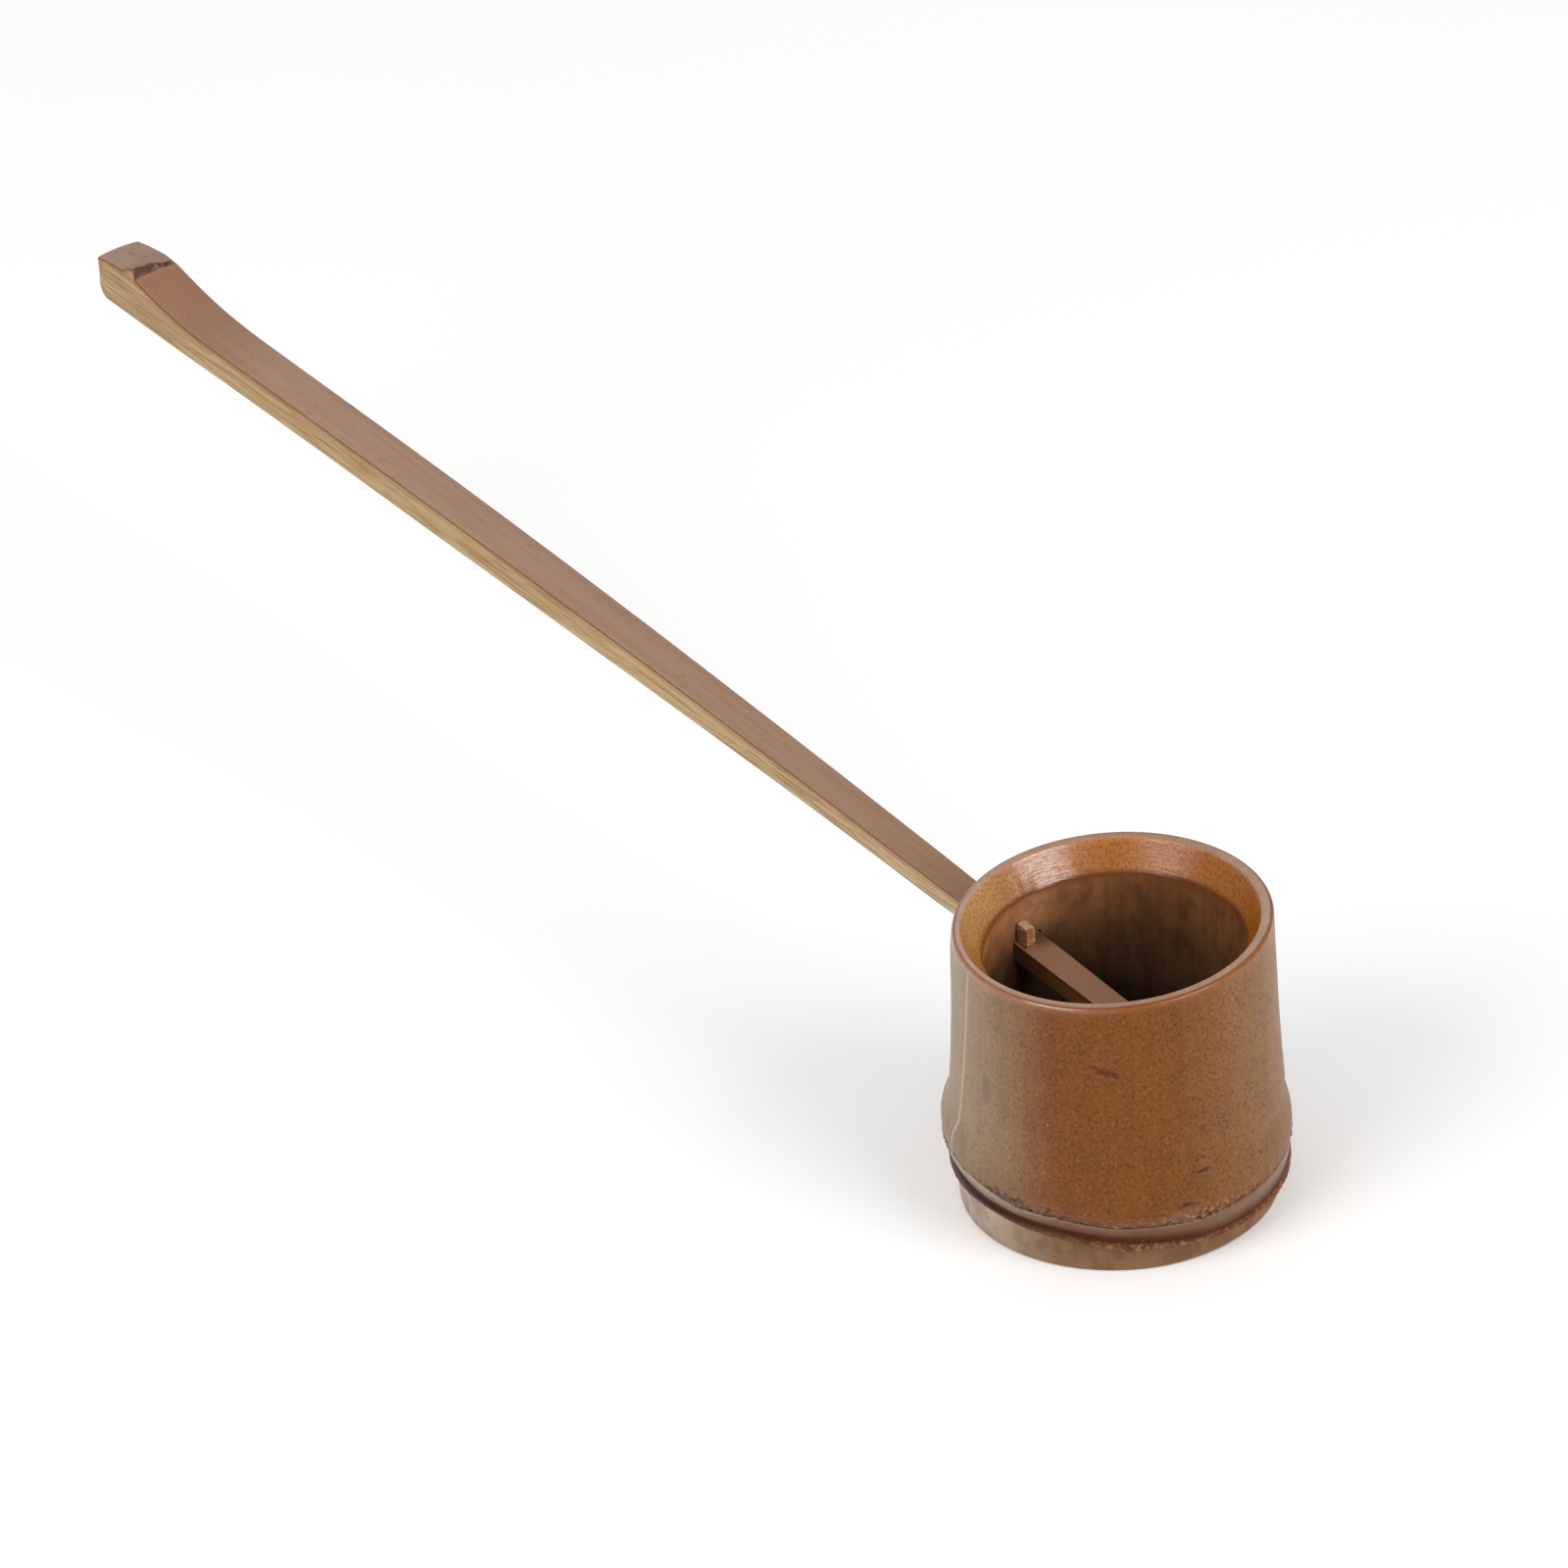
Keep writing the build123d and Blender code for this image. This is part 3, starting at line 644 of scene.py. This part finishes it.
def through(places, sizes, at, start_slope=None, end_slope=None):
    """A smooth line through given sizes; its slope at either end may be set."""
    x, y = np.asarray(places, float), np.asarray(sizes, float)
    gap = np.diff(x)
    rise = np.diff(y) / gap
    grid = np.diag(np.r_[2.0, 2 * (gap[1:] + gap[:-1]), 2.0])
    grid += np.diag(np.r_[1.0, gap[:-1]], 1) + np.diag(np.r_[gap[1:], 1.0], -1)
    right = 3 * np.r_[rise[0], rise[:-1] * gap[1:] + rise[1:] * gap[:-1], rise[-1]]
    for k, slope_there in ((0, start_slope), (-1, end_slope)):
        if slope_there is not None:
            grid[k], right[k] = 0.0, slope_there
            grid[k, k] = 1.0
    tilt = np.linalg.solve(grid, right)
    k = np.clip(np.searchsorted(x, at, "right") - 1, 0, len(gap) - 1)
    t = (at - x[k]) / gap[k]
    return ((1 + 2 * t) * (1 - t) ** 2 * y[k] + t * (1 - t) ** 2 * gap[k] * tilt[k]
            + t**2 * (3 - 2 * t) * y[k + 1] + t**2 * (t - 1) * gap[k] * tilt[k + 1])


bend_height = axis_height + bend_reach * slope
back_run = node_reach - bend_reach
back_places = [bend_reach + back_run * s for s in (0, 0.355, 0.682, 0.872, 0.954, 1)]
back_sizes = [bend_height + node_rise * s for s in (0, 0.368, 0.654, 0.798, 0.888, 1)]
belly_start = (bend_reach + end_lean, bend_height - 2.734)
belly_run = tip_reach - belly_start[0]
belly_places = [belly_start[0] + belly_run * s for s in (0, 0.338, 0.649, 0.857, 1)]
belly_sizes = [belly_start[1] + belly_rise * s for s in (0, 0.388, 0.692, 0.881, 1)]
width_places = (end_reach, bend_reach, 90.1, 150.1, 190.1, node_reach, tip_reach)
widths = (3.7, 4.5, 5.7, 6.625, 7.0, 7.35, 7.1)

stations = np.unique(np.round(np.concatenate([
    np.arange(end_reach, peg_low, 0.5), (peg_low, 15.86, 16.40, peg_high), np.arange(peg_high, 198, 0.55),
    np.arange(198, 207.4, 0.3), np.arange(207.4, 211, 0.09), np.arange(211, 215.6, 0.25),
    tip_reach - tip_round * (1 - np.sin(np.linspace(0, pi / 2, 10)))]), 4))
cross, down = 26, 26  # steps over the handle's face and down its side


def back_height(at):
    """The skin along the middle of the handle, up to the foot of the node's ridge."""
    bow = through(back_places, back_sizes, np.clip(at, bend_reach, node_reach), slope, tan(radians(20.0)))
    return np.where(at < bend_reach, axis_height + at * slope, bow)


def belly_height(at):
    """The underside, with the round at the tip's lower corner."""
    bow = through(belly_places, belly_sizes, np.clip(at, belly_start[0], tip_reach), slope, slope / 2)
    flat = np.where(at < belly_start[0], axis_height + at * slope - neck_thick, bow)
    into = np.clip(at - (tip_reach - tip_round), 0, tip_round)
    fuller = np.interp(at, (24, 34, 100, 160, 198, 210), (0, 0.27, 0.27, 0.20, 0.15, 0))
    return flat - fuller + tip_round - np.sqrt(tip_round**2 - into**2)


half_width = through(width_places, widths, stations) / 2
half_column = half_width[:, None]
shares = np.linspace(-1, 1, cross + 1)
shares = np.sign(shares) * (1 - (1 - np.abs(shares)) ** 1.15)
across = shares[None, :] * half_column
in_hole = (stations >= peg_low - 0.01) & (stations <= peg_high + 0.01)
left_column = int(np.argmin(np.abs(across[in_hole][0] - peg_left)))
right_column = int(np.argmin(np.abs(across[in_hole][0] - peg_right)))
squared_there = np.interp(stations, (11, 13.5, 18, 21), (0, 1, 1, 0))
for k in np.flatnonzero(squared_there > 0):
    edges = (-half_width[k], peg_left, peg_right, half_width[k])
    squared = np.interp(np.arange(cross + 1), (0, left_column, right_column, cross), edges)
    across[k] += (squared - across[k]) * squared_there[k]
reach = stations[:, None] + 0 * across

# The ridge is the foot of the lost sheath: rough, thick at the left edge and thin at the right.
left_share = 0.5 - across / (2 * half_column)
part_across = across / patch_span
ridge_foot = node_reach + 0.10 * patches(part_across, 0.3, 60, 21)
ridge_wide = 1.35 - 0.65 * left_share + 0.35 * patches(part_across, 0.6, 50, 22)
ridge_tall = 0.42 + 1.0 * left_share
past = reach - ridge_foot
climb = soft_step(past, -0.05, 0.28 + 2.6 * (1 - left_share) ** 2)
fade = 1 - soft_step(past, 0.3 + 0.3 * left_share, 1.2 + 2.2 * left_share)
stub_line = np.interp(reach, (node_reach, 210.0, 212.6, 215.3, tip_reach), (0.40, 0.46, 0.42, 0.34, 0.10))
stub_line = stub_line - 0.10 * left_share**2 * np.exp(-(((reach - 211.8) / 1.1) ** 2))
node_top = back_height(node_reach) + (stub_line + (ridge_tall - 0.45) * fade) * climb
crown = crown_radius - np.sqrt(crown_radius**2 - across**2)
top = np.where(past > -0.05, node_top, back_height(np.minimum(reach, node_reach))) - crown
on_ridge = soft_step(past, -0.12, -0.02) * (1 - soft_step(past, ridge_wide * 0.55, ridge_wide * 0.8))
bits = 0.6 * patches(part_across, reach / 0.28, 150, 23) + 0.5 * patches(part_across, reach / 0.6, 75, 24)
top = top + 0.07 * bits * on_ridge + 0.010 * patches(part_across, reach / 3.0, 30, 25)
top[:, (0, -1)] -= 0.10
top[:, (1, -2)] -= 0.025
belly = belly_height(stations)[:, None]
worn = 0.03
down_share = np.linspace(0, 1, down + 1)[None, 1:-1]


def side_face(edge, seed):
    """Heights down one side and how far its split fibres stand in or out; the fibres follow the underside."""
    face = edge + (belly + lower_edge - edge) * down_share
    deep = (face - belly) / patch_span
    fibre = patches(deep, stations[:, None] / 14.0, 200, seed) * 0.6
    fibre = fibre + patches(deep, stations[:, None] / 5.0, 110, seed + 1) * 0.4
    open_grain = np.interp(stations, (18, 30), (0.2, 1.0))[:, None]
    return face, worn - 0.035 * (fibre - 0.6) * open_grain, fibre * open_grain


right_face, right_in, right_fibre = side_face(top[:, -1:], 26)
left_face, left_in, left_fibre = side_face(top[:, :1], 28)
under = belly + 0 * across
under[:, (0, -1)] += lower_edge
left_wide = np.interp(stations, (24, 34, 200, 212), (0, 0.13, 0.13, 0.05))[:, None]
edged = across + left_wide * (shares + 1) / 2
edged[:, 0] += worn
edged[:, -1] -= worn
nothing = 0 * right_face


def joined(over, right=nothing, bottom=0 * under, left=nothing):
    """Values round the handle: across its skin, down one side, back under it and up the other."""
    return np.concatenate([over, right, bottom, left[:, ::-1]], 1)


y = joined(edged, half_column + left_wide - right_in, edged[:, ::-1], left_in - half_column)
z = joined(top, right_face, under, left_face)
loop = y.shape[1]
lean = np.interp(stations, (end_reach, end_reach + 2), (end_lean, 0.0))[:, None]
tallest = top.max(1, keepdims=True)
x = -stations[:, None] - lean * (tallest - z) / (tallest - belly)
skin_depth = joined(0 * top - 0.35, top[:, -1:] - right_face, tallest - under, top[:, :1] - left_face)
skin_depth[:, (0, cross)] = 0.0
values = {"depth": skin_depth, "level": z - belly, "skin": joined(0 * top + 1), "ridge": joined(on_ridge),
          "relief": joined(bits * on_ridge), "fibre": joined(0 * top, right_fibre, 0 * under, left_fibre)}
values = {label: data.reshape(-1) for label, data in values.items()}
points = np.stack([x, y, z], -1).reshape(-1, 3)
count = len(stations)


def cell_at(k, j):
    return k * loop + j % loop


def net_over(edge, across, down, first, point_at):
    """New points inside an end, numbered from first on, and faces over them and the points of its edge."""
    made = []
    for u in range(1, across):
        for v in range(1, down):
            edge[u, v] = first + len(made)
            made.append(point_at(u, v))
    return made, [(edge[u, v], edge[u + 1, v], edge[u + 1, v + 1], edge[u, v + 1])
                  for u in range(across) for v in range(down)]


hole_rows = np.flatnonzero(in_hole)
first, last = int(hole_rows[0]), int(hole_rows[-1])
below = 2 * cross + down


def in_peg_hole(k, j):
    return first <= k < last and any(left_column <= column < right_column for column in (j, below - 1 - j))


faces = faces_round(count, loop, in_peg_hole)
hole_edge = ([(first, j) for j in range(left_column, right_column)]
             + [(k, right_column) for k in range(first, last)]
             + [(last, j) for j in range(right_column, left_column, -1)]
             + [(k, left_column) for k in range(last, first, -1)])
for a, b in zip(hole_edge, next_of(hole_edge)):
    faces.append((cell_at(*a), cell_at(*b), cell_at(b[0], below - b[1]), cell_at(a[0], below - a[1])))
for k in (0, count - 1):
    edge = {}
    for v in range(down + 1):
        edge[0, v], edge[cross, v] = cell_at(k, -v), cell_at(k, cross + v)
    for u in range(cross + 1):
        edge[u, 0], edge[u, down] = cell_at(k, u), cell_at(k, below - u)
    made, net = net_over(edge, cross, down, len(points), lambda u, v: points[edge[u, 0]]
                         + (points[edge[u, down]] - points[edge[u, 0]]) * v / down)
    points = np.vstack([points, made])
    faces += net
    made_height = np.array(made)[:, 2]
    for label in values:
        inner = {"depth": tallest[k, 0] - made_height, "level": made_height - belly[k, 0]}
        values[label] = np.concatenate([values[label], inner.get(label, 0 * made_height)])
handle = make_piece("handle_split", points, faces, values)

split, tree, shader = new_material("handle_bamboo")
spot, axes = place_here()
deep, upper, fibre = value_of("depth"), value_of("skin"), value_of("fibre")
on_ridge_part, pit = value_of("ridge"), value_of("relief")
far = times(axes["X"], -1.0)
along_tip = maths("DIVIDE", far, tip_reach)
level_grain = add("CombineXYZ", {0: times(axes["X"], 0.03), 1: axes["Y"], 2: value_of("level")}).outputs[0]
threads = use_group(bundles, Place=level_grain, Spacing=0.16)
broad = use_group(bundles, Place=level_grain, Spacing=0.45)
skin_tone = scale_of(along_tip,
    (0.0, (146, 108, 84)), (0.06, (146, 108, 84)), (0.085, (158, 118, 92)), (0.10, (150, 114, 88)),
    (0.30, (160, 127, 103)), (0.68, (167, 133, 110)), (0.82, (170, 136, 113)), (0.90, (156, 116, 90)),
    (0.955, (156, 110, 84)), (0.963, (158, 128, 108)), (1.0, (168, 142, 124)))
# The sides and the rind are much darker over the first stops, inside the cup, as painted shade.
side_tone = scale_of(along_tip,
    (0.0, (132, 84, 46)), (0.07, (128, 84, 50)), (0.10, (190, 164, 132)), (0.35, (182, 153, 110)),
    (0.80, (174, 143, 99)), (1.0, (168, 138, 98)))
rind_tone = scale_of(along_tip,
    (0.0, (104, 62, 28)), (0.07, (104, 62, 28)), (0.10, (150, 102, 52)), (0.94, (156, 104, 54)),
    (0.965, (162, 94, 38)))
rind = scale_of(spread(deep, 0.0, 2.0),
    (0.0, 1.0), (0.06, 0.7), (0.15, 0.55), (0.3, 0.45), (0.45, 0.15), (0.6, 0.0))
bare_wood = painted(side_tone, (138, 98, 54), spread(threads["Streak"], 0.44, 0.62, 0.0, 0.75))
clean = times(spread(far, 14.0, 24.0), spread(broad["Streak"], 0.52, 0.40, 0.0, 0.45))
bare_wood = painted(bare_wood, (196, 170, 124), clean)
bare_wood = painted(bare_wood, rind_tone, rind, 0.8)
bare_wood = painted(bare_wood, (116, 76, 36), spread(fibre, -0.2, -0.9, 0.0, 0.55))
skin_colour = painted(skin_tone, (140, 100, 74), spread(broad["Streak"], 0.35, 0.7, 0.0, 0.35))
colour = painted(bare_wood, skin_colour, upper)
edge_line = spread(maths("ABSOLUTE", deep), 0.06, 0.28, 1.0, 0.0)
dark = use_group(specks, Place=scaled(spot, (0.4, 1.0, 1.0)), Spacing=0.9, Size=0.25)["Speck"]
for dye, *shares in (
        ((92, 54, 24), edge_line, 0.85),
        ((86, 56, 48), on_ridge_part, 0.95),
        ((44, 28, 24), spread(pit, 0.0, -0.6, 0.0, 0.8)),
        ((168, 132, 112), spread(pit, 0.1, 0.6, 0.0, 0.4)),
        ((104, 66, 46), dark, 0.25, upper)):
    colour = painted(colour, dye, *shares)

# Inside the cup the skin is darker near the wall, and the sides and the underside are painted in deep shade.
past_wall = spread(axes["X"], -17.5, -16.9)
darker_near_wall = times(spread(axes["X"], -13.2, -15.6), past_wall, upper, spread(axes["Y"], -1.8, 0.8, 0.25, 0.85))
colour = painted(colour, (92, 66, 42), darker_near_wall)
beneath = times(maths("SUBTRACT", 1.0, upper), spread(axes["X"], -2.0, -14.0, 0.0, 0.45), past_wall)
colour = painted(colour, (30, 20, 16), beneath)
fill(shader["Base Color"], colour)
fill(shader["Roughness"], 0.5)
fill(shader["Specular IOR Level"], 0.3)
lift = maths("ADD", times(threads["Streak"], 0.6), times(broad["Streak"], 0.4))
fill(shader["Normal"], bumped(lift, 0.4, 0.0001))
handle.data.materials.append(split)
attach(handle, "root")
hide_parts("handle")

# Peg. A square splinter of bamboo, driven down through the handle just inside the cup's near wall. Its top
# was snapped off, not cut, and some of its fibres have split away down to the handle.
peg_near, peg_far = 15.38, 16.88
peg_side = (-1.82, 0.02)
peg_foot, peg_top = 25.28, 32.75
handle_face, foot_taper, strand_span = 29.45, 0.3, 6.0
cells = 14
heights = np.concatenate([
    (peg_foot, peg_foot + foot_taper), np.arange(peg_foot + 0.8, handle_face - 0.1, 0.5),
    np.arange(handle_face - 0.1, peg_top - 0.12, 0.1)])
shares = np.linspace(0, 1, cells + 1)
square = ([(s, 0.0) for s in shares[:-1]] + [(1.0, s) for s in shares[:-1]]
          + [(1 - s, 1.0) for s in shares[:-1]] + [(0.0, 1 - s) for s in shares[:-1]])
loop = len(square)


def top_at(u, v):
    """Height of the snapped top: it falls away from the highest fibre, most towards the cup's middle."""
    rough = patches(u / strand_span, v * 4.0, 66, 31) * 0.5 + patches(u / strand_span, v * 9.0, 150, 32) * 0.5
    spike = 0.18 * u * np.exp(-(((v - 0.35) / 0.2) ** 2))
    slump = 0.75 * (1 - u) + 0.2 * (1 - u) * v + 0.65 * u * v**2 - spike
    return peg_top - float(0.12 - 0.10 * rough + slump)


def peg_point(u, v, height):
    """A point of the peg: u runs from the side nearest the cup's middle to the wall, v from left to right."""
    high = np.clip((height - handle_face - (0.4 if v > 0.3 else 0.1)) / 0.15, 0, 1)
    inset = foot_taper * np.clip((peg_foot + foot_taper - height) / foot_taper, 0, 1)
    split_off = (0.2 + 0.22 * np.exp(-(((v - 0.5) / 0.25) ** 2))) * high * (1 - u)
    strands = np.abs(0.035 * patches(v / strand_span + u / strand_span, height / 2.5, 110, 33))
    deep = peg_near + (peg_far - peg_near) * u + split_off + inset * (1 - 2 * u) + strands * (1 - 2 * u)
    side = peg_side[0] + (peg_side[1] - peg_side[0]) * v + 0.42 * (1 - u) * (1 - v)
    return (-deep, side + inset * (1 - 2 * v) + strands * 0.6 * (1 - 2 * v), height)


points = []
for k, level in enumerate(heights):
    for u, v in square:
        points.append(peg_point(u, v, min(level, top_at(u, v) - 0.01 * (len(heights) - k))))
faces = faces_round(len(heights), loop)
for k, height_at in ((0, lambda u, v: peg_foot), (len(heights) - 1, top_at)):
    edge = {(round(u * cells), round(v * cells)): k * loop + j for j, (u, v) in enumerate(square)}
    made, net = net_over(edge, cells, cells, len(points), lambda a, b: peg_point(
        a / cells, b / cells, height_at(a / cells, b / cells)))
    points += made
    faces += net
peg = make_piece("peg_splinter", points, faces, {})

raw, tree, shader = new_material("raw_bamboo")
spot, axes = place_here()
threads = use_group(bundles, Place=scaled(spot, (1, 1, 0.08)), Spacing=0.16)["Streak"]
colour = scale_of(threads,
    (0.3, (104, 58, 22)), (0.45, (150, 98, 50)), (0.55, (186, 146, 98)), (0.7, (206, 176, 134)))
core = times(band(axes["Y"], -1.05, -0.9, -0.3, -0.2), spread(axes["X"], -16.1, -15.95, 0.0, 0.8))
colour = painted(colour, (176, 104, 52), core)
from_skin = maths("SUBTRACT", axes["Y"], maths("MULTIPLY_ADD", axes["X"], 0.28, 2.906))
skin_colour = painted((128, 86, 56), (160, 116, 80), spread(threads, 0.4, 0.6))
colour = painted(colour, skin_colour, spread(from_skin, 0.13, 0.05))
end_wood = spread(axes["Z"], 31.55, 31.8)
dots = use_group(bundles, Place=scaled(spot, (1, 1, 0)), Spacing=0.2, Dot=0.4)["Bundle"]
colour = painted(colour, (196, 166, 126), end_wood, 0.7)
colour = painted(colour, (128, 82, 40), end_wood, dots, 0.7)
# Below the handle's underside the peg is painted nearly black: painted shade under the handle.
colour = painted(colour, (24, 14, 9), spread(axes["Z"], 27.2, 26.6, 0.0, 0.85))
fill(shader["Base Color"], colour)
fill(shader["Roughness"], 0.7)
fill(shader["Normal"], bumped(threads, 0.5, 0.0001))
peg.data.materials.append(raw)
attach(peg, "root")
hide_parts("peg")

# Floor. A wide, plain, pale board under the dipper.
span = 3.0
board = bpy.data.meshes.new("floor")
corners = [(-span, -span, 0), (span, -span, 0), (span, span, 0), (-span, span, 0)]
board.from_pydata(corners, [], [(0, 1, 2, 3)])
floor = bpy.data.objects.new("floor", board)
bpy.context.scene.collection.objects.link(floor)
floor.location.z = -0.00002
pale, tree, shader = new_material("pale_board")
cloud = noise(add("TexCoord", {}).outputs["Object"], 8.0, 3.0)
fill(shader["Base Color"], painted((253, 253, 253), (255, 255, 255), cloud))
fill(shader["Roughness"], 0.9)
fill(shader["Specular IOR Level"], 0.1)
fill(shader["Emission Color"], (255, 255, 255))
ray = add("LightPath", {}).outputs
bright = maths("MAXIMUM", ray["Is Glossy Ray"], ray["Is Transmission Ray"])
fill(shader["Emission Strength"], times(maths("MAXIMUM", ray["Is Camera Ray"], bright), 0.12))
board.materials.append(pale)

# Light. White surroundings with a soft box on either side.
world = bpy.data.worlds.new("white_room")
bpy.context.scene.world = world
world.use_nodes = True
back = world.node_tree.nodes["Background"].inputs
back["Color"].default_value = (1.0, 1.0, 1.0, 1.0)
back["Strength"].default_value = 0.52


def soft_box(name, azimuth, elevation, distance, size, watts):
    """A square lamp facing the cup from a direction in degrees round it."""
    lamp = bpy.data.lights.new(name, "AREA")
    lamp.shape = "RECTANGLE"
    lamp.size, lamp.size_y = size
    lamp.energy = watts
    box = bpy.data.objects.new(name, lamp)
    a, e = radians(azimuth), radians(elevation)
    box.location = Vector((cos(a) * cos(e), sin(a) * cos(e), sin(e))) * distance
    box.rotation_euler = box.location.to_track_quat("Z", "Y").to_euler()
    bpy.context.scene.collection.objects.link(box)


soft_box("box_right", 13.0, 33.0, 1.9, (1.15, 1.3), 17.0)
soft_box("box_left", -87.0, 33.0, 1.9, (1.15, 1.3), 17.0)

# Camera, from above and to the right of the handle.
camera = bpy.data.cameras.new("camera")
camera.sensor_width = 36.0
camera.lens = 228.6236
camera.clip_start, camera.clip_end = 0.1, 20.0
eye = bpy.data.objects.new("camera", camera)
eye.matrix_world = Matrix((
    (0.6204315, -0.3716915, 0.6905869, 0.8414414), (0.7827599, 0.3479330, -0.5159745, -0.6791533),
    (-0.0484946, 0.8606905, 0.5068137, 0.6978166), (0.0, 0.0, 0.0, 1.0)))
bpy.context.scene.collection.objects.link(eye)
bpy.context.scene.camera = eye
bpy.context.scene.view_settings.view_transform = "Standard"
